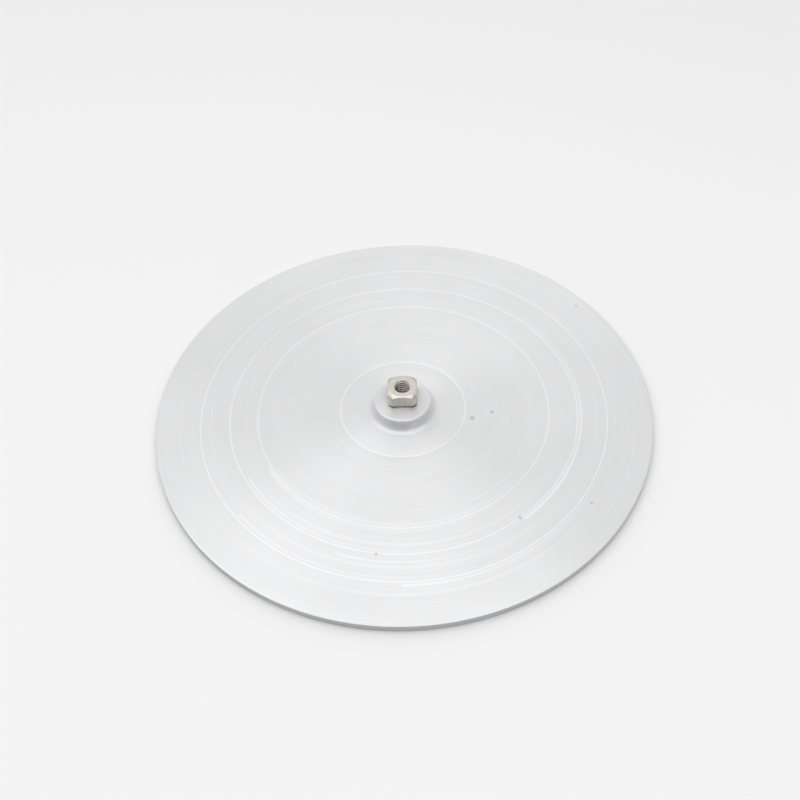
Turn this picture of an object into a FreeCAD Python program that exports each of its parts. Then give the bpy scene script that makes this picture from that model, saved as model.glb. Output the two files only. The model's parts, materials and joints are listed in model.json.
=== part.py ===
"""Cover plate with a square-headed threaded bush.

A flat turned aluminium disc stands on its outer face, with a low boss in the middle of its inner face. A plated
steel bush sits in a blind bore of the boss, a little to one side of the disc's axis: a round shank and short neck,
then a head with four flats left on round bar, and a tapped hole down its whole length. All sizes are millimetres.
+Z is the disc's axis, the origin is the middle of the disc's outer face, and the bush is moved along +Y.
"""

import FreeCAD
import Part
import os
import Sketcher

# ---------------------------------------------------------------- driving dimensions

SIZES = {
    # disc
    "disc_diameter": 170.0,
    "disc_thickness": 2.5,
    "rim_edge_radius": 0.2,
    # boss, one piece with the disc
    "boss_diameter": 19.8,
    "boss_height": 4.35,
    "boss_root_radius": 2.6,
    "boss_edge_radius": 0.6,
    # shallow rings on the inner face, left where a turning pass began or ended
    "ring_first_radius": 21.5,
    "ring_second_radius": 50.0,
    "ring_third_radius": 59.7,
    "ring_fourth_radius": 69.7,
    "ring_width": 0.6,
    "ring_depth": 0.05,
    # bush
    "bush_offset": 1.5,
    "bar_diameter": 12.6,
    "head_across_flats": 10.0,
    "head_height": 4.5,
    "head_face_diameter": 9.4,
    "head_chamfer_degrees": 30.0,
    "head_underside_chamfer": 0.2,
    "neck_height": 0.5,
    "shank_diameter": 8.0,
    "shank_depth": 5.2,
    "shank_lead_chamfer": 0.4,
    "shank_clearance": 0.02,
    # M6 tapped hole, with its wall at the crests of the thread
    "thread_wall_diameter": 5.0,
    "thread_mouth_diameter": 5.5,
}

RINGS = ["ring_first_radius", "ring_second_radius", "ring_third_radius", "ring_fourth_radius"]
FLATS = 4

document = FreeCAD.newDocument("cover_plate")
sheet = document.addObject("Spreadsheet::Sheet", "sizes")
for row, (alias, value) in enumerate(SIZES.items(), start=1):
    sheet.set("A%d" % row, alias)
    sheet.set("B%d" % row, str(value))
    sheet.setAlias("B%d" % row, alias)
document.recompute()

# heights and radii that follow from the driving dimensions, as spreadsheet expressions
DISC_RADIUS = "sizes.disc_diameter / 2"
DISC_FACE = "sizes.disc_thickness"
BOSS_RADIUS = "sizes.boss_diameter / 2"
BOSS_TOP = "sizes.disc_thickness + sizes.boss_height"
BAR_RADIUS = "sizes.bar_diameter / 2"
SHANK_RADIUS = "sizes.shank_diameter / 2"
HEAD_BOTTOM = "sizes.shank_depth + sizes.neck_height"
HEAD_TOP = HEAD_BOTTOM + " + sizes.head_height"
HEAD_CONE_DROP = (
    "(sizes.bar_diameter - sizes.head_face_diameter) / 2 * tan(sizes.head_chamfer_degrees * 1 deg)"
)

# ---------------------------------------------------------------- helpers


def origin_feature(body, role):
    """The body's own origin plane or axis with this role, such as XZ_Plane or Z_Axis."""
    for feature in body.Origin.OriginFeatures:
        if feature.Role == role:
            return feature
    raise ValueError("no origin feature " + role)


def new_sketch(body, name, role):
    """An empty sketch on one of the body's origin planes."""
    sketch = body.newObject("Sketcher::SketchObject", name)
    sketch.AttachmentSupport = [(origin_feature(body, role), "")]
    sketch.MapMode = "FlatFace"
    return sketch


def evaluate(expression):
    """The present value of a spreadsheet expression, as a plain number."""
    value = sheet.evalExpression(expression)
    return float(getattr(value, "Value", value))


def place_vertex(sketch, line, name, across, up):
    """Tie the start of a line to its two expressions, measured from the sketch's origin. None means zero."""
    if across is None:
        sketch.addConstraint(Sketcher.Constraint("PointOnObject", line, 1, -2))
    else:
        index = sketch.addConstraint(Sketcher.Constraint("DistanceX", -1, 1, line, 1, evaluate(across)))
        sketch.renameConstraint(index, name + "_across")
        sketch.setExpression("Constraints." + name + "_across", across)
    if up is None:
        sketch.addConstraint(Sketcher.Constraint("PointOnObject", line, 1, -1))
    else:
        index = sketch.addConstraint(Sketcher.Constraint("DistanceY", -1, 1, line, 1, evaluate(up)))
        sketch.renameConstraint(index, name + "_up")
        sketch.setExpression("Constraints." + name + "_up", up)


def closed_outline(sketch, vertices):
    """A closed chain of lines through named vertices, each given as (name, across, up) in expressions."""
    spots = []
    for name, across, up in vertices:
        x = 0.0 if across is None else evaluate(across)
        y = 0.0 if up is None else evaluate(up)
        spots.append(FreeCAD.Vector(x, y, 0))
    count = len(spots)
    for i in range(count):
        sketch.addGeometry(Part.LineSegment(spots[i], spots[(i + 1) % count]), False)
    for i in range(count):
        sketch.addConstraint(Sketcher.Constraint("Coincident", i, 2, (i + 1) % count, 1))
    for i, (name, across, up) in enumerate(vertices):
        place_vertex(sketch, i, name, across, up)


def placed_circle(sketch, name, radius, up):
    """A circle on the sketch's upright axis, its radius and the height of its centre given as expressions."""
    centre = FreeCAD.Vector(0, evaluate(up), 0)
    circle = Part.Circle(centre, FreeCAD.Vector(0, 0, 1), evaluate(radius))
    index = sketch.addGeometry(circle, False)
    sketch.addConstraint(Sketcher.Constraint("PointOnObject", index, 3, -2))
    size = sketch.addConstraint(Sketcher.Constraint("Radius", index, evaluate(radius)))
    sketch.renameConstraint(size, name + "_radius")
    sketch.setExpression("Constraints." + name + "_radius", radius)
    height = sketch.addConstraint(Sketcher.Constraint("DistanceY", -1, 1, index, 3, evaluate(up)))
    sketch.renameConstraint(height, name + "_up")
    sketch.setExpression("Constraints." + name + "_up", up)


def turned(body, kind, name, vertices):
    """A Revolution or Groove of a closed outline, a full turn about the axis."""
    sketch = new_sketch(body, name + "_outline", "XZ_Plane")
    closed_outline(sketch, vertices)
    feature = body.newObject("PartDesign::" + kind, name)
    feature.Profile = sketch
    feature.ReferenceAxis = (origin_feature(body, "Z_Axis"), [""])
    feature.Angle = 360.0
    document.recompute()
    return feature


def circle_edges(feature, radius, height):
    """Names of the feature's full circles with this radius and height about the axis."""
    found = []
    for number, edge in enumerate(feature.Shape.Edges, start=1):
        curve = edge.Curve
        if not isinstance(curve, Part.Circle):
            continue
        if abs(curve.Radius - radius) < 1e-4 and abs(curve.Center.z - height) < 1e-4:
            found.append("Edge%d" % number)
    if not found:
        raise ValueError("no circle of radius %g at height %g" % (radius, height))
    return found


def rounded(body, name, base, edges, radius):
    """A fillet on named edges of a feature."""
    fillet = body.newObject("PartDesign::Fillet", name)
    fillet.Base = (base, edges)
    fillet.setExpression("Radius", radius)
    document.recompute()
    return fillet


def cut_took(body, before):
    """Stop if the last cut removed nothing."""
    if not body.Shape.Volume < before - 1e-6:
        raise ValueError("a cut in " + body.Label + " removed nothing")


# ---------------------------------------------------------------- cover disc


def make_cover_disc():
    """The turned disc: boss, root and edge roundings, the bush's blind bore and the rings of the turning passes."""
    body = document.addObject("PartDesign::Body", "cover_disc")
    body.Label = "cover_disc"
    blank = turned(
        body,
        "Revolution",
        "disc_blank",
        [
            ("centre", None, None),
            ("rim_foot", DISC_RADIUS, None),
            ("rim_top", DISC_RADIUS, DISC_FACE),
            ("boss_foot", BOSS_RADIUS, DISC_FACE),
            ("boss_edge", BOSS_RADIUS, BOSS_TOP),
            ("boss_middle", None, BOSS_TOP),
        ],
    )
    disc_radius = evaluate(DISC_RADIUS)
    boss_radius = evaluate(BOSS_RADIUS)
    face = evaluate(DISC_FACE)
    boss_top = evaluate(BOSS_TOP)
    root = rounded(
        body, "boss_root", blank, circle_edges(blank, boss_radius, face), "sizes.boss_root_radius"
    )
    boss_edge = rounded(
        body, "boss_edge", root, circle_edges(root, boss_radius, boss_top), "sizes.boss_edge_radius"
    )
    rim = circle_edges(boss_edge, disc_radius, 0.0) + circle_edges(boss_edge, disc_radius, face)
    rounded(body, "rim_edges", boss_edge, rim, "sizes.rim_edge_radius")

    before = body.Shape.Volume
    bore_plan = new_sketch(body, "bore_plan", "XY_Plane")
    bore_plan.AttachmentOffset = FreeCAD.Placement(
        FreeCAD.Vector(0, 0, evaluate(BOSS_TOP)), FreeCAD.Rotation()
    )
    bore_plan.setExpression("AttachmentOffset.Base.z", BOSS_TOP)
    placed_circle(bore_plan, "bore", SHANK_RADIUS + " + sizes.shank_clearance", "sizes.bush_offset")
    bore = body.newObject("PartDesign::Pocket", "bush_bore")
    bore.Profile = bore_plan
    bore.setExpression("Length", "sizes.shank_depth")
    document.recompute()
    cut_took(body, before)

    for alias in RINGS:
        before = body.Shape.Volume
        middle = "sizes." + alias
        turned(
            body,
            "Groove",
            alias.replace("_radius", "_mark"),
            [
                ("inner", middle + " - sizes.ring_width / 2", DISC_FACE),
                ("bottom", middle, DISC_FACE + " - sizes.ring_depth"),
                ("outer", middle + " + sizes.ring_width / 2", DISC_FACE),
                ("above", middle, DISC_FACE + " + sizes.ring_depth"),
            ],
        )
        cut_took(body, before)
    return body


# ---------------------------------------------------------------- threaded bush


def make_threaded_bush():
    """The bush from its shank's end up: shank and neck in one, square head from round bar, tapped hole."""
    body = document.addObject("PartDesign::Body", "threaded_bush")
    body.Label = "threaded_bush"
    turned(
        body,
        "Revolution",
        "bush_blank",
        [
            ("end_middle", None, None),
            ("end_edge", SHANK_RADIUS + " - sizes.shank_lead_chamfer", None),
            ("lead_top", SHANK_RADIUS, "sizes.shank_lead_chamfer"),
            ("neck_top", SHANK_RADIUS, HEAD_BOTTOM),
            ("underside_edge", BAR_RADIUS + " - sizes.head_underside_chamfer", HEAD_BOTTOM),
            ("head_foot", BAR_RADIUS, HEAD_BOTTOM + " + sizes.head_underside_chamfer"),
            ("cone_foot", BAR_RADIUS, HEAD_TOP + " - " + HEAD_CONE_DROP),
            ("face_edge", "sizes.head_face_diameter / 2", HEAD_TOP),
            ("face_middle", None, HEAD_TOP),
        ],
    )

    before = body.Shape.Volume
    flat_plan = new_sketch(body, "flat_plan", "XY_Plane")
    flat_plan.AttachmentOffset = FreeCAD.Placement(
        FreeCAD.Vector(0, 0, evaluate(HEAD_BOTTOM)), FreeCAD.Rotation()
    )
    flat_plan.setExpression("AttachmentOffset.Base.z", HEAD_BOTTOM)
    closed_outline(
        flat_plan,
        [
            ("inner_near", "sizes.head_across_flats / 2", "-" + BAR_RADIUS),
            ("outer_near", "sizes.bar_diameter", "-" + BAR_RADIUS),
            ("outer_far", "sizes.bar_diameter", BAR_RADIUS),
            ("inner_far", "sizes.head_across_flats / 2", BAR_RADIUS),
        ],
    )
    flat = body.newObject("PartDesign::Pocket", "head_flat")
    flat.Profile = flat_plan
    flat.Reversed = True
    flat.setExpression("Length", "sizes.head_height")
    document.recompute()
    cut_took(body, before)

    before = body.Shape.Volume
    square = body.newObject("PartDesign::PolarPattern", "head_square")
    square.Originals = [flat]
    square.Axis = (flat_plan, ["N_Axis"])
    square.Angle = 360.0
    square.Occurrences = FLATS
    body.Tip = square
    document.recompute()
    cut_took(body, before)

    before = body.Shape.Volume
    wall_radius = "sizes.thread_wall_diameter / 2"
    mouth_radius = "sizes.thread_mouth_diameter / 2"
    turned(
        body,
        "Groove",
        "tapped_hole",
        [
            ("end_middle", None, None),
            ("end_wall", wall_radius, None),
            ("mouth_foot", wall_radius, HEAD_TOP + " - " + mouth_radius + " + " + wall_radius),
            ("mouth_edge", mouth_radius, HEAD_TOP),
            ("mouth_middle", None, HEAD_TOP),
        ],
    )
    cut_took(body, before)

    body.setExpression("Placement.Base.y", "sizes.bush_offset")
    body.setExpression("Placement.Base.z", BOSS_TOP + " - sizes.shank_depth")
    return body


# ---------------------------------------------------------------- build, check and write

PIECES = [make_cover_disc(), make_threaded_bush()]
document.recompute()

for thing in document.Objects:
    if "Invalid" in thing.State or "Error" in thing.State:
        raise RuntimeError(thing.Name + " failed: " + ", ".join(thing.State))
for piece in PIECES:
    if piece.Shape.isNull() or not piece.Shape.isValid():
        raise RuntimeError(piece.Label + " has no valid shape")

os.makedirs("parts", exist_ok=True)
for piece in PIECES:
    piece.Shape.exportStep(os.path.join("parts", piece.Label + ".step"))
    box = piece.Shape.optimalBoundingBox(False)
    print(
        "%s: %d solid, %.1f mm3, z %.3f to %.3f"
        % (piece.Label, len(piece.Shape.Solids), piece.Shape.Volume, box.ZMin, box.ZMax)
    )
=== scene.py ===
import json
import math

import bpy
from mathutils import Matrix, Vector


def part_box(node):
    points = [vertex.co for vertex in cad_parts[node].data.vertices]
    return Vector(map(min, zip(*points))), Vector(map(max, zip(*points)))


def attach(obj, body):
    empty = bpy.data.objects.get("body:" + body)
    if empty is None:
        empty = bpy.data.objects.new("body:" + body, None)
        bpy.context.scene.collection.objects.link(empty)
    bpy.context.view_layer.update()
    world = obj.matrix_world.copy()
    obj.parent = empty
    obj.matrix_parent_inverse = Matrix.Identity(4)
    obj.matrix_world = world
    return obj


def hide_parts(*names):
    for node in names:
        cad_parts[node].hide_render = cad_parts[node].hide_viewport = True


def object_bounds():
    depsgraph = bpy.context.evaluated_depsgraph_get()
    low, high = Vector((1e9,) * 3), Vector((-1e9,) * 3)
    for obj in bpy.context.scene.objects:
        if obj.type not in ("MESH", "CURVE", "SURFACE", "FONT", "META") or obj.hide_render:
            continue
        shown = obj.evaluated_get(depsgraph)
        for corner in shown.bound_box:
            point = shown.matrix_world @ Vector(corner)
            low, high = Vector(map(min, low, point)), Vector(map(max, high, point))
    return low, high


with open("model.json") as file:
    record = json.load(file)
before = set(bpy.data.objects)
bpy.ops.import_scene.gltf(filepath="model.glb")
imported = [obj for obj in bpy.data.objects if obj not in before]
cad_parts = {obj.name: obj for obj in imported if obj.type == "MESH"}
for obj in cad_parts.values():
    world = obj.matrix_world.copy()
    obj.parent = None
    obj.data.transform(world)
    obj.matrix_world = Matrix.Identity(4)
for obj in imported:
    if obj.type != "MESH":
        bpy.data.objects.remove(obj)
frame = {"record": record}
CAD_LOW, CAD_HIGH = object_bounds()

MM = 0.001


def mount(name):
    """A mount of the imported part, by its name."""
    for found in frame["record"]["mounts"]:
        if found["name"] == name:
            return found
    raise ValueError("no mount " + name)


# ---------------------------------------------------------------- sizes

DISC_RADIUS = CAD_HIGH[0]
DISC_FACE = mount("rim_face")["pos_m"][2]
BOSS_HEIGHT = 4.35 * MM
BOSS_TOP = DISC_FACE + BOSS_HEIGHT
HEAD_TOP = CAD_HIGH[2]
SHANK_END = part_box("threaded_bush")[0][2]
HEAD_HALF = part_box("threaded_bush")[1][0]
THREAD_CREST = mount("tie_rod_thread")["dims"]["r_mm"] * MM
BUSH_OFFSET = mount("tie_rod_thread")["pos_m"][1]

BOSS_RADIUS = 9.9 * MM
BOSS_ROOT = 2.6 * MM
BOSS_EDGE = 0.6 * MM
RIM_EDGE = 0.2 * MM
RING_DEPTH = 0.05 * MM
BORE_RADIUS = 4.02 * MM
BORE_CHAMFER = 0.1 * MM
SHANK_RADIUS = 4.0 * MM
SHANK_LEAD = 0.4 * MM
BAR_RADIUS = 6.3 * MM
HEAD_HEIGHT = 4.5 * MM
HEAD_FACE_RADIUS = 4.7 * MM
HEAD_CONE = math.radians(30)
HEAD_BEVEL = 0.06 * MM
FACE_RING_RADIUS = 3.4 * MM
UNDERSIDE_CHAMFER = 0.2 * MM
MOUTH_RADIUS = 2.75 * MM
THREAD_ROOT = 3.0 * MM
THREAD_PITCH = 1.0 * MM

# ---------------------------------------------------------------- mesh helpers

SHARP_ANGLE = math.radians(30)


def mesh_object(name, vertices, faces):
    """A mesh object at the origin, shaded smooth, with edges over SHARP_ANGLE kept sharp."""
    mesh = bpy.data.meshes.new(name)
    mesh.from_pydata(vertices, [], faces)
    mesh.validate()
    mesh.shade_smooth()
    piece = bpy.data.objects.new(name, mesh)
    bpy.context.scene.collection.objects.link(piece)
    mesh.set_sharp_from_angle(angle=SHARP_ANGLE)
    return piece


def stacked_rings(name, rings, count):
    """A closed skin through rings of count points, or single points at its two ends."""
    vertices = []
    starts = []
    for ring in rings:
        starts.append(len(vertices))
        vertices.extend(ring)
    faces = []
    for index in range(len(rings) - 1):
        near = rings[index]
        far = rings[index + 1]
        a = starts[index]
        b = starts[index + 1]
        for i in range(count):
            j = (i + 1) % count
            if len(near) == 1:
                faces.append((a, b + j, b + i))
            elif len(far) == 1:
                faces.append((a + i, a + j, b))
            else:
                faces.append((a + i, a + j, b + j, b + i))
    return mesh_object(name, vertices, faces)


def arc(centre_r, centre_z, radius, start, end, steps):
    """Points of an arc in the half plane of radius and height, from start to end in degrees."""
    points = []
    for i in range(steps + 1):
        angle = math.radians(start + (end - start) * i / steps)
        points.append((centre_r + radius * math.cos(angle), centre_z + radius * math.sin(angle)))
    return points


# ---------------------------------------------------------------- cover disc

DISC_SEGMENTS = 720
FULL_TURN = 360
BOSS_EDGE_STEPS = 10
BOSS_ROOT_STEPS = 24
RIM_EDGE_STEPS = 4

# Where the boss's face has rings between the bore and its edge, as shares of the way. The first ones
# are moved along with the bore, less and less, and the last one is centred on the disc.
BOSS_SHARES = (0.25, 0.5, 0.75)

# Marks that turning left on the inner face, in millimetres and degrees: radius, half width, depth,
# where the mark starts and how far round it runs. The first four are the CAD part's grooves. A mark
# that runs less than a full turn starts sharply, where the tool touched down, and fades out.
MARKS = [
    (21.5, 0.30, 0.050, 0, FULL_TURN),
    (50.0, 0.30, 0.050, 0, FULL_TURN),
    (59.7, 0.30, 0.050, 0, FULL_TURN),
    (69.7, 0.30, 0.050, 0, FULL_TURN),
    (15.6, 0.25, 0.006, 0, FULL_TURN),
    (25.2, 0.30, 0.005, 0, FULL_TURN),
    (34.8, 0.40, 0.008, 0, FULL_TURN),
    (38.2, 0.35, 0.006, 0, FULL_TURN),
    (43.4, 0.40, 0.008, 0, FULL_TURN),
    (54.2, 0.45, 0.007, 0, FULL_TURN),
    (66.3, 0.50, 0.010, 0, FULL_TURN),
    (72.3, 0.40, 0.008, 0, FULL_TURN),
    (76.6, 0.35, 0.006, 0, FULL_TURN),
    (82.5, 0.30, 0.008, 0, FULL_TURN),
    (30.2, 0.20, 0.020, -78.7, 24),
    (45.7, 0.30, 0.030, -60.1, 60),
    (51.1, 0.65, 0.030, -150.0, 120),
    (58.4, 0.60, 0.030, -150.0, 110),
    (60.9, 0.75, 0.045, -50.8, 125),
    (62.6, 0.55, 0.035, -109.2, 58),
    (68.2, 0.50, 0.030, -140.0, 100),
    (70.9, 0.65, 0.040, -90.3, 70),
    (78.8, 0.25, 0.030, -36.3, 48),
]

# Wide shallow bands where the tool pressed harder for part of a turn, given in the same way. They
# swell and fade.
BANDS = [
    (48.6, 1.00, 0.016, -165, 140),
    (56.3, 1.20, 0.018, -170, 150),
    (64.5, 1.15, 0.018, -165, 150),
    (74.2, 1.20, 0.016, -155, 135),
]


def touch_down(start, run):
    """Strength of a mark round the disc: all of it at its start, fading to nothing at its end."""

    def strength(angle):
        if run == FULL_TURN:
            return 1.0
        return max(0.0, 1.0 - (angle - start) % FULL_TURN / run)

    return strength


def swell(start, run):
    """Strength of a band round the disc: strongest halfway along it."""

    def strength(angle):
        past = (angle - start) % FULL_TURN
        if past > run:
            return 0.0
        return math.sin(math.pi * past / run)

    return strength


def all_marks():
    """Marks and bands from the boss outwards, as (radius, half width, depth, strength)."""
    found = []
    for radius, half, depth, start, run in MARKS:
        found.append((radius, half, depth, touch_down(start, run)))
    for radius, half, depth, start, run in BANDS:
        found.append((radius, half, depth, swell(start, run)))
    return sorted(found, key=lambda mark: mark[0])


def disc_profile():
    """The disc's skin from the bore's floor round to the middle of the outer face.

    Each point is (radius, height, shift, mark). The shift moves the ring along +Y, for the bore that
    stands off the axis. A mark is (depth, strength) on the bottom of a turned mark and None elsewhere.
    """
    floor = SHANK_END
    points = [(0.0, floor, BUSH_OFFSET, None), (BORE_RADIUS, floor, BUSH_OFFSET, None)]
    points.append((BORE_RADIUS, BOSS_TOP - BORE_CHAMFER, BUSH_OFFSET, None))
    points.append((BORE_RADIUS + BORE_CHAMFER, BOSS_TOP, BUSH_OFFSET, None))
    centred = BOSS_SHARES[-1]
    for share in BOSS_SHARES:
        radius = BORE_RADIUS + (BOSS_RADIUS - BORE_RADIUS) * share
        points.append((radius, BOSS_TOP, BUSH_OFFSET * (centred - share) / centred, None))
    edge_r = BOSS_RADIUS - BOSS_EDGE
    root_r = BOSS_RADIUS + BOSS_ROOT
    plain = arc(edge_r, BOSS_TOP - BOSS_EDGE, BOSS_EDGE, 90, 0, BOSS_EDGE_STEPS)
    plain += arc(root_r, DISC_FACE + BOSS_ROOT, BOSS_ROOT, 180, 270, BOSS_ROOT_STEPS)
    points += [(radius, height, 0.0, None) for radius, height in plain]
    for radius, half, depth, strength in all_marks():
        points.append(((radius - half) * MM, DISC_FACE, 0.0, None))
        points.append((radius * MM, DISC_FACE, 0.0, (depth * MM, strength)))
        points.append(((radius + half) * MM, DISC_FACE, 0.0, None))
    rim_r = DISC_RADIUS - RIM_EDGE
    plain = arc(rim_r, DISC_FACE - RIM_EDGE, RIM_EDGE, 90, 0, RIM_EDGE_STEPS)
    plain += arc(rim_r, RIM_EDGE, RIM_EDGE, 0, -90, RIM_EDGE_STEPS)
    plain.append((0.0, 0.0))
    points += [(radius, height, 0.0, None) for radius, height in plain]
    return points


def make_disc():
    """The disc, with where the turned marks get their painted highlight as an attribute: 1 at a CAD
    groove's depth.
    """
    rings = []
    mark_highlight = []
    for radius, height, shift, mark in disc_profile():
        if radius == 0.0:
            rings.append([(0.0, shift, height)])
            mark_highlight.append(0.0)
            continue
        ring = []
        for i in range(DISC_SEGMENTS):
            degrees = FULL_TURN * i / DISC_SEGMENTS
            angle = math.radians(degrees)
            drop = 0.0
            if mark:
                depth, strength = mark
                drop = depth * strength(degrees)
            ring.append((radius * math.cos(angle), shift + radius * math.sin(angle), height - drop))
            mark_highlight.append(min(drop / RING_DEPTH, 1.0))
        rings.append(ring)
    disc = stacked_rings("turned_disc", rings, DISC_SEGMENTS)
    # How much painted highlight each vertex gets along the turned marks.
    attribute = disc.data.attributes.new("mark_highlight", "FLOAT", "POINT")
    for i, value in enumerate(mark_highlight):
        attribute.data[i].value = value
    return disc


# ---------------------------------------------------------------- threaded bush

BUSH_SEGMENTS = 144
THREAD_STEPS = 12

# Shares of half a pitch: the flat on the thread's crest, and the flank between it and the root's flat.
CREST_FLAT = 0.2
FLANK = 0.65


def head_radius(angle):
    """Distance from the axis to the head's outline: four flats left on round bar."""
    quarter = math.pi / 2
    off = (angle + quarter / 2) % quarter - quarter / 2
    return min(BAR_RADIUS, HEAD_HALF / math.cos(off))


def thread_radius(angle, height):
    """Wall of the tapped hole: a 60 degree thread with narrow flats, cut back by the mouth's chamfer."""
    turn = (height / THREAD_PITCH - angle / (2 * math.pi)) % 1.0
    flank = abs(turn - 0.5) * 2
    rise = min(max((flank - CREST_FLAT) / FLANK, 0.0), 1.0)
    wall = THREAD_CREST + (THREAD_ROOT - THREAD_CREST) * rise
    return max(wall, MOUTH_RADIUS - (HEAD_TOP - height))


def bush_ring(radius_of, height_of):
    """One ring of the bush. Radius and height are functions of the angle."""
    ring = []
    for i in range(BUSH_SEGMENTS):
        angle = 2 * math.pi * i / BUSH_SEGMENTS
        radius = radius_of(angle)
        across = radius * math.cos(angle)
        along = BUSH_OFFSET + radius * math.sin(angle)
        ring.append((across, along, height_of(angle)))
    return ring


def make_bush():
    """The bush as one skin: up the thread, over the head and down the shank."""
    head_foot = HEAD_TOP - HEAD_HEIGHT

    def cone_height(angle, inset=0.0):
        return HEAD_TOP - (head_radius(angle) - inset - HEAD_FACE_RADIUS) * math.tan(HEAD_CONE)

    rings = []

    def level(radius, height):
        rings.append(bush_ring(lambda angle: radius, lambda angle: height))

    # thread, from the shank's end up to the mouth
    steps = round((HEAD_TOP - SHANK_END) / THREAD_PITCH * THREAD_STEPS)
    for k in range(steps + 1):
        height = SHANK_END + (HEAD_TOP - SHANK_END) * k / steps
        rings.append(bush_ring(lambda angle: thread_radius(angle, height), lambda angle: height))
    # face, cone and sides of the head, from the mouth outwards and down
    level(FACE_RING_RADIUS, HEAD_TOP)
    level(HEAD_FACE_RADIUS - HEAD_BEVEL, HEAD_TOP)
    level(HEAD_FACE_RADIUS, HEAD_TOP - HEAD_BEVEL * 0.3)
    rings.append(bush_ring(lambda a: head_radius(a) - HEAD_BEVEL, lambda a: cone_height(a, HEAD_BEVEL)))
    rings.append(bush_ring(head_radius, lambda a: cone_height(a) - HEAD_BEVEL))
    rings.append(bush_ring(head_radius, lambda a: head_foot + UNDERSIDE_CHAMFER))
    underside = BAR_RADIUS - UNDERSIDE_CHAMFER
    rings.append(bush_ring(lambda a: min(head_radius(a), underside), lambda a: head_foot))
    level(SHANK_RADIUS, head_foot)
    level(SHANK_RADIUS, SHANK_END + SHANK_LEAD)
    level(SHANK_RADIUS - SHANK_LEAD, SHANK_END)
    rings.append(rings[0])
    return stacked_rings("square_headed_bush", rings, BUSH_SEGMENTS)


# ---------------------------------------------------------------- materials

BASE_ALUMINIUM = 0.77
ROUGH_ALUMINIUM = 0.45
ANISOTROPY = 0.8
GROOVE_DIRECTION = 0.25
RIM_PAINTED_SHADE = 0.75
FINE_STREAKS = 0.03
BROAD_STREAKS = 0.018
CLOUDS = 0.015
MARK_PAINTED_HIGHLIGHT = 0.14
ROUGHNESS_SWAY = 0.04
SPECK_CORE = 0.4
SPECK_SHADE = 0.72
BASE_NICKEL = 0.62
NICKEL_SWAY = 0.03
THREAD_PAINTED_SHADE = 0.5
BUMP_DISTANCE = 0.00002

# In millimetres, as the coordinates in the shaders are.
MM_PER_METRE = 1000.0
TOP_MM = HEAD_TOP / MM
RIM_MM = DISC_RADIUS / MM
OFF_AXIS_MM = 0.001


def on_face(radius, degrees):
    """A spot on the disc's inner face, in millimetres."""
    angle = math.radians(degrees)
    return (radius * math.cos(angle), radius * math.sin(angle), 0.0)


SPECKS = [
    (on_face(30.7, -5.0), 0.9),
    (on_face(24.2, -12.4), 1.1),
    (on_face(80.7, 36.8), 0.6),
    (on_face(73.2, -34.6), 0.55),
    (on_face(59.6, -51.6), 0.8),
    (on_face(60.0, -98.0), 0.7),
]


def new_material(name):
    material = bpy.data.materials.new(name)
    material.use_nodes = True
    return material, material.node_tree.nodes, material.node_tree.links


class Maths:
    """Small helpers that add shader nodes to one material and wire them up."""

    def __init__(self, nodes, links):
        self.nodes = nodes
        self.links = links

    def put(self, value, socket):
        """A constant goes on the socket itself, a node's output is linked to it."""
        if isinstance(value, bpy.types.NodeSocket):
            self.links.new(value, socket)
        else:
            socket.default_value = value

    def math(self, operation, first, second=0.0):
        node = self.nodes.new("ShaderNodeMath")
        node.operation = operation
        self.put(first, node.inputs[0])
        self.put(second, node.inputs[1])
        return node.outputs[0]

    def combine(self, x, y, z):
        node = self.nodes.new("ShaderNodeCombineXYZ")
        self.put(x, node.inputs[0])
        self.put(y, node.inputs[1])
        self.put(z, node.inputs[2])
        return node.outputs[0]

    def noise(self, vector, scale, detail=2.0, roughness=0.5):
        node = self.nodes.new("ShaderNodeTexNoise")
        self.put(vector, node.inputs["Vector"])
        node.inputs["Scale"].default_value = scale
        node.inputs["Detail"].default_value = detail
        node.inputs["Roughness"].default_value = roughness
        return node.outputs["Fac"]

    def span(self, value, low, high, to_low, to_high):
        node = self.nodes.new("ShaderNodeMapRange")
        self.put(value, node.inputs["Value"])
        node.inputs["From Min"].default_value = low
        node.inputs["From Max"].default_value = high
        node.inputs["To Min"].default_value = to_low
        node.inputs["To Max"].default_value = to_high
        return node.outputs["Result"]

    def sway(self, noise, amount):
        """The middle of a noise's range, as a change from -amount to amount."""
        return self.span(noise, 0.3, 0.7, -amount, amount)

    def bump(self, height, strength, shader):
        """Fine relief on a shader."""
        node = self.nodes.new("ShaderNodeBump")
        node.inputs["Strength"].default_value = strength
        node.inputs["Distance"].default_value = BUMP_DISTANCE
        self.links.new(height, node.inputs["Height"])
        self.links.new(node.outputs["Normal"], shader.inputs["Normal"])

    def polar(self, offset):
        """Own x, y, z, the distance from an axis moved along +Y, and the direction round that axis."""
        coordinate = self.nodes.new("ShaderNodeTexCoord")
        split = self.nodes.new("ShaderNodeSeparateXYZ")
        self.links.new(coordinate.outputs["Object"], split.inputs[0])
        x = self.math("MULTIPLY", split.outputs[0], MM_PER_METRE)
        y = self.math("MULTIPLY", self.math("SUBTRACT", split.outputs[1], offset), MM_PER_METRE)
        z = self.math("MULTIPLY", split.outputs[2], MM_PER_METRE)
        square = self.math("ADD", self.math("MULTIPLY", x, x), self.math("MULTIPLY", y, y))
        radius = self.math("SQRT", square)
        along = self.math("DIVIDE", x, self.math("ADD", radius, OFF_AXIS_MM))
        across = self.math("DIVIDE", y, self.math("ADD", radius, OFF_AXIS_MM))
        return x, y, z, radius, along, across


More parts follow.
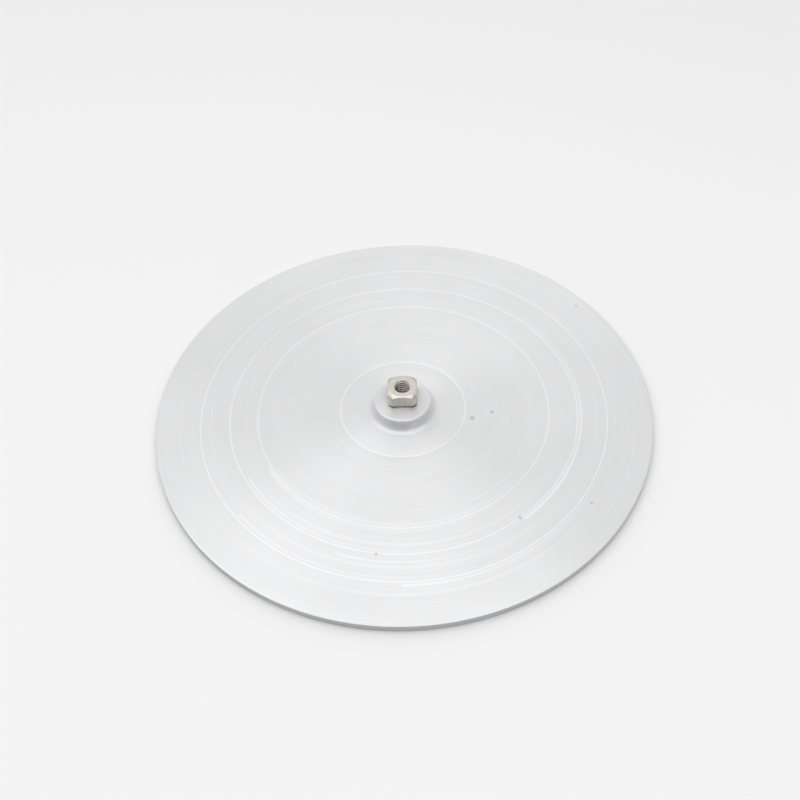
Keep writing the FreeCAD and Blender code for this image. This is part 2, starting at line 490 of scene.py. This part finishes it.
def aluminium():
    """Turned aluminium: fine grooves, a painted highlight along the turned marks, small specks of dirt
    and painted shade on the rim's wall.
    """
    material, nodes, links = new_material("turned_aluminium")
    shader = nodes["Principled BSDF"]
    m = Maths(nodes, links)
    x, y, z, radius, along, across = m.polar(0.0)

    fine = m.noise(m.combine(m.math("MULTIPLY", radius, 2.2), along, across), 1.0, 3.0, 0.7)
    broad = m.noise(m.combine(m.math("MULTIPLY", radius, 0.22), along, across), 1.0, 2.0)
    cloud = m.noise(m.combine(x, y, z), 0.03, 2.0)
    attribute = nodes.new("ShaderNodeAttribute")
    attribute.attribute_name = "mark_highlight"
    mark_highlight = attribute.outputs["Fac"]

    fade = m.span(m.noise(m.combine(x, y, z), 0.045, 2.0), 0.35, 0.65, 0.25, 1.0)
    light = m.math("MULTIPLY", m.span(fine, 0.25, 0.75, -FINE_STREAKS, FINE_STREAKS), fade)
    light = m.math("ADD", light, m.sway(broad, BROAD_STREAKS))
    light = m.math("ADD", light, m.sway(cloud, CLOUDS))
    # Painted highlight: lighter colour along the turned marks, strongest at the CAD grooves' depth.
    light = m.math("ADD", light, m.math("MULTIPLY", mark_highlight, MARK_PAINTED_HIGHLIGHT))
    light = m.math("ADD", light, BASE_ALUMINIUM)
    for spot, size in SPECKS:
        distance = nodes.new("ShaderNodeVectorMath")
        distance.operation = "DISTANCE"
        links.new(m.combine(x, y, 0.0), distance.inputs[0])
        distance.inputs[1].default_value = spot
        speck = m.span(distance.outputs["Value"], size * SPECK_CORE, size, SPECK_SHADE, 1.0)
        light = m.math("MULTIPLY", light, speck)
    # Painted shade: the colour is made darker on the rim's outer wall.
    wall = m.span(radius, RIM_MM - 0.07, RIM_MM - 0.03, 1.0, RIM_PAINTED_SHADE)
    light = m.math("MULTIPLY", light, wall)

    colour = nodes.new("ShaderNodeCombineColor")
    m.put(m.math("MULTIPLY", light, 0.998), colour.inputs[0])
    m.put(light, colour.inputs[1])
    m.put(m.math("MULTIPLY", light, 1.01), colour.inputs[2])
    links.new(colour.outputs[0], shader.inputs["Base Color"])
    shader.inputs["Metallic"].default_value = 1.0
    rough = m.math("ADD", m.sway(broad, ROUGHNESS_SWAY), ROUGH_ALUMINIUM)
    m.put(rough, shader.inputs["Roughness"])
    shader.inputs["Anisotropic"].default_value = ANISOTROPY
    shader.inputs["Anisotropic Rotation"].default_value = GROOVE_DIRECTION
    tangent = nodes.new("ShaderNodeTangent")
    tangent.direction_type = "RADIAL"
    tangent.axis = "Z"
    links.new(tangent.outputs["Tangent"], shader.inputs["Tangent"])
    m.bump(fine, 0.5, shader)
    return material


def nickel():
    """Nickel plate gone slightly brown, with faint turning rings and painted shade down inside the
    thread.
    """
    material, nodes, links = new_material("nickel_plate")
    shader = nodes["Principled BSDF"]
    m = Maths(nodes, links)
    x, y, z, radius, along, across = m.polar(BUSH_OFFSET)

    rings = m.noise(m.combine(m.math("MULTIPLY", radius, 4.0), along, across), 1.0, 2.0)
    stain = m.noise(m.combine(x, y, z), 0.35, 3.0, 0.6)
    grain = m.noise(m.combine(x, y, m.math("MULTIPLY", z, 6.0)), 2.2, 2.0)
    light = m.sway(rings, NICKEL_SWAY)
    light = m.math("ADD", light, m.sway(grain, NICKEL_SWAY))
    light = m.math("ADD", light, BASE_NICKEL)
    # Painted shade: inside the tapped hole the colour gets darker further down from the mouth.
    inside = m.span(radius, 2.75, 3.02, 1.0, 0.0)
    painted_hole_shade = m.math("MULTIPLY", inside, m.span(z, TOP_MM - 1.6, TOP_MM - 0.1, 1.0, 0.0))
    light = m.math("MULTIPLY", light, m.span(painted_hole_shade, 0.0, 1.0, 1.0, THREAD_PAINTED_SHADE))
    brown = m.span(stain, 0.35, 0.65, 0.0, 1.0)
    colour = nodes.new("ShaderNodeCombineColor")
    m.put(light, colour.inputs[0])
    m.put(m.math("MULTIPLY", light, m.span(brown, 0.0, 1.0, 0.965, 0.935)), colour.inputs[1])
    m.put(m.math("MULTIPLY", light, m.span(brown, 0.0, 1.0, 0.91, 0.84)), colour.inputs[2])
    links.new(colour.outputs[0], shader.inputs["Base Color"])
    shader.inputs["Metallic"].default_value = 1.0
    m.put(m.span(stain, 0.3, 0.7, 0.22, 0.34), shader.inputs["Roughness"])
    m.bump(grain, 0.4, shader)
    return material


# ---------------------------------------------------------------- pieces

disc = make_disc()
disc.data.materials.append(aluminium())
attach(disc, "root")
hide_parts("cover_disc")

bush = make_bush()
bush.data.materials.append(nickel())
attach(bush, "root")
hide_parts("threaded_bush")

# ---------------------------------------------------------------- floor, light and camera

SKY_MIDDLE = (-0.08, 0.52, 0.85)
SKY_FROM = -0.2
SKY_TO = 0.95
SKY_DARK = 0.08
SKY_BRIGHT = 1.04
HORIZON = 0.8
HORIZON_LOW = 0.08
HORIZON_HIGH = 0.42
FLOOR_SIZE = 6.0
FLOOR_COLOUR = (0.92, 0.92, 0.92, 1)
FLOOR_GAP = 0.02 * MM


def make_floor():
    half = FLOOR_SIZE / 2
    corners = []
    for across, along in ((-half, -half), (half, -half), (half, half), (-half, half)):
        corners.append((across, along, -FLOOR_GAP))
    floor = mesh_object("floor", corners, [(0, 1, 2, 3)])
    material, nodes, _ = new_material("pale_floor")
    shader = nodes["Principled BSDF"]
    shader.inputs["Roughness"].default_value = 0.9
    shader.inputs["Specular IOR Level"].default_value = 0.0
    shader.inputs["Base Color"].default_value = FLOOR_COLOUR
    floor.data.materials.append(material)


def make_world():
    """A white studio: bright overhead, behind and along the horizon, darker in front above it."""
    world = bpy.data.worlds.new("studio")
    bpy.context.scene.world = world
    world.use_nodes = True
    nodes = world.node_tree.nodes
    links = world.node_tree.links
    coordinate = nodes.new("ShaderNodeTexCoord")
    dot = nodes.new("ShaderNodeVectorMath")
    dot.operation = "DOT_PRODUCT"
    dot.inputs[1].default_value = SKY_MIDDLE
    ramp = nodes.new("ShaderNodeMapRange")
    ramp.interpolation_type = "SMOOTHSTEP"
    ramp.inputs["From Min"].default_value = SKY_FROM
    ramp.inputs["From Max"].default_value = SKY_TO
    ramp.inputs["To Min"].default_value = SKY_DARK
    ramp.inputs["To Max"].default_value = SKY_BRIGHT
    background = nodes["Background"]
    links.new(coordinate.outputs["Generated"], dot.inputs[0])
    links.new(dot.outputs["Value"], ramp.inputs["Value"])
    split = nodes.new("ShaderNodeSeparateXYZ")
    links.new(coordinate.outputs["Generated"], split.inputs[0])
    horizon = nodes.new("ShaderNodeMapRange")
    links.new(split.outputs[2], horizon.inputs["Value"])
    horizon.inputs["From Min"].default_value = HORIZON_LOW
    horizon.inputs["From Max"].default_value = HORIZON_HIGH
    horizon.inputs["To Min"].default_value = HORIZON
    horizon.inputs["To Max"].default_value = 0.0
    brighter = nodes.new("ShaderNodeMath")
    brighter.operation = "MAXIMUM"
    links.new(ramp.outputs["Result"], brighter.inputs[0])
    links.new(horizon.outputs["Result"], brighter.inputs[1])
    links.new(brighter.outputs[0], background.inputs["Strength"])
    background.inputs["Color"].default_value = (1, 1, 1, 1)


LAMP_PLACE = (-0.035, -0.09, 0.60)
LAMP_WIDTH = 1.15
LAMP_LENGTH = 0.62
LAMP_WATTS = 1.35


def area_light(name, place, width, length, watts):
    """A rectangular lamp that looks at the origin."""
    data = bpy.data.lights.new(name, "AREA")
    data.shape = "RECTANGLE"
    data.size = width
    data.size_y = length
    data.energy = watts
    light = bpy.data.objects.new(name, data)
    light.location = place
    light.rotation_mode = "QUATERNION"
    light.rotation_quaternion = (-Vector(place)).to_track_quat("-Z", "Y")
    bpy.context.scene.collection.objects.link(light)


HEAD_TURN = math.radians(2.0)
CAMERA_LENS = 49.07
SENSOR_WIDTH = 36.0
CAMERA_ELEVATION = math.radians(49.28)
CAMERA_DISTANCE = 4.429 * DISC_RADIUS
CAMERA_PAN = math.radians(-0.135)
CAMERA_TILT = math.radians(0.418)
CAMERA_ROLL = math.radians(2.66)


def make_camera():
    """The camera looks at the middle of the disc's inner face, slightly panned, tilted and rolled."""
    data = bpy.data.cameras.new("camera")
    data.lens = CAMERA_LENS
    data.sensor_width = SENSOR_WIDTH
    camera = bpy.data.objects.new("camera", data)
    bpy.context.scene.collection.objects.link(camera)
    bpy.context.scene.camera = camera
    right = Vector((1, 0, 0))
    up = Vector((0, math.sin(CAMERA_ELEVATION), math.cos(CAMERA_ELEVATION)))
    back = Vector((0, -math.cos(CAMERA_ELEVATION), math.sin(CAMERA_ELEVATION)))
    place = Vector((0, 0, DISC_FACE)) + back * CAMERA_DISTANCE
    panned_right = right * math.cos(CAMERA_PAN) + back * math.sin(CAMERA_PAN)
    panned_ahead = right * math.sin(CAMERA_PAN) - back * math.cos(CAMERA_PAN)
    tilted_up = up * math.cos(CAMERA_TILT) - panned_ahead * math.sin(CAMERA_TILT)
    ahead = up * math.sin(CAMERA_TILT) + panned_ahead * math.cos(CAMERA_TILT)
    final_right = panned_right * math.cos(CAMERA_ROLL) - tilted_up * math.sin(CAMERA_ROLL)
    final_up = panned_right * math.sin(CAMERA_ROLL) + tilted_up * math.cos(CAMERA_ROLL)
    axes = Matrix((final_right, final_up, -ahead)).transposed().to_4x4()
    axes.translation = place
    camera.matrix_world = Matrix.Rotation(HEAD_TURN, 4, "Z") @ axes


make_floor()
make_world()
area_light("overhead", LAMP_PLACE, LAMP_WIDTH, LAMP_LENGTH, LAMP_WATTS)
make_camera()
bpy.context.scene.view_settings.view_transform = "Standard"
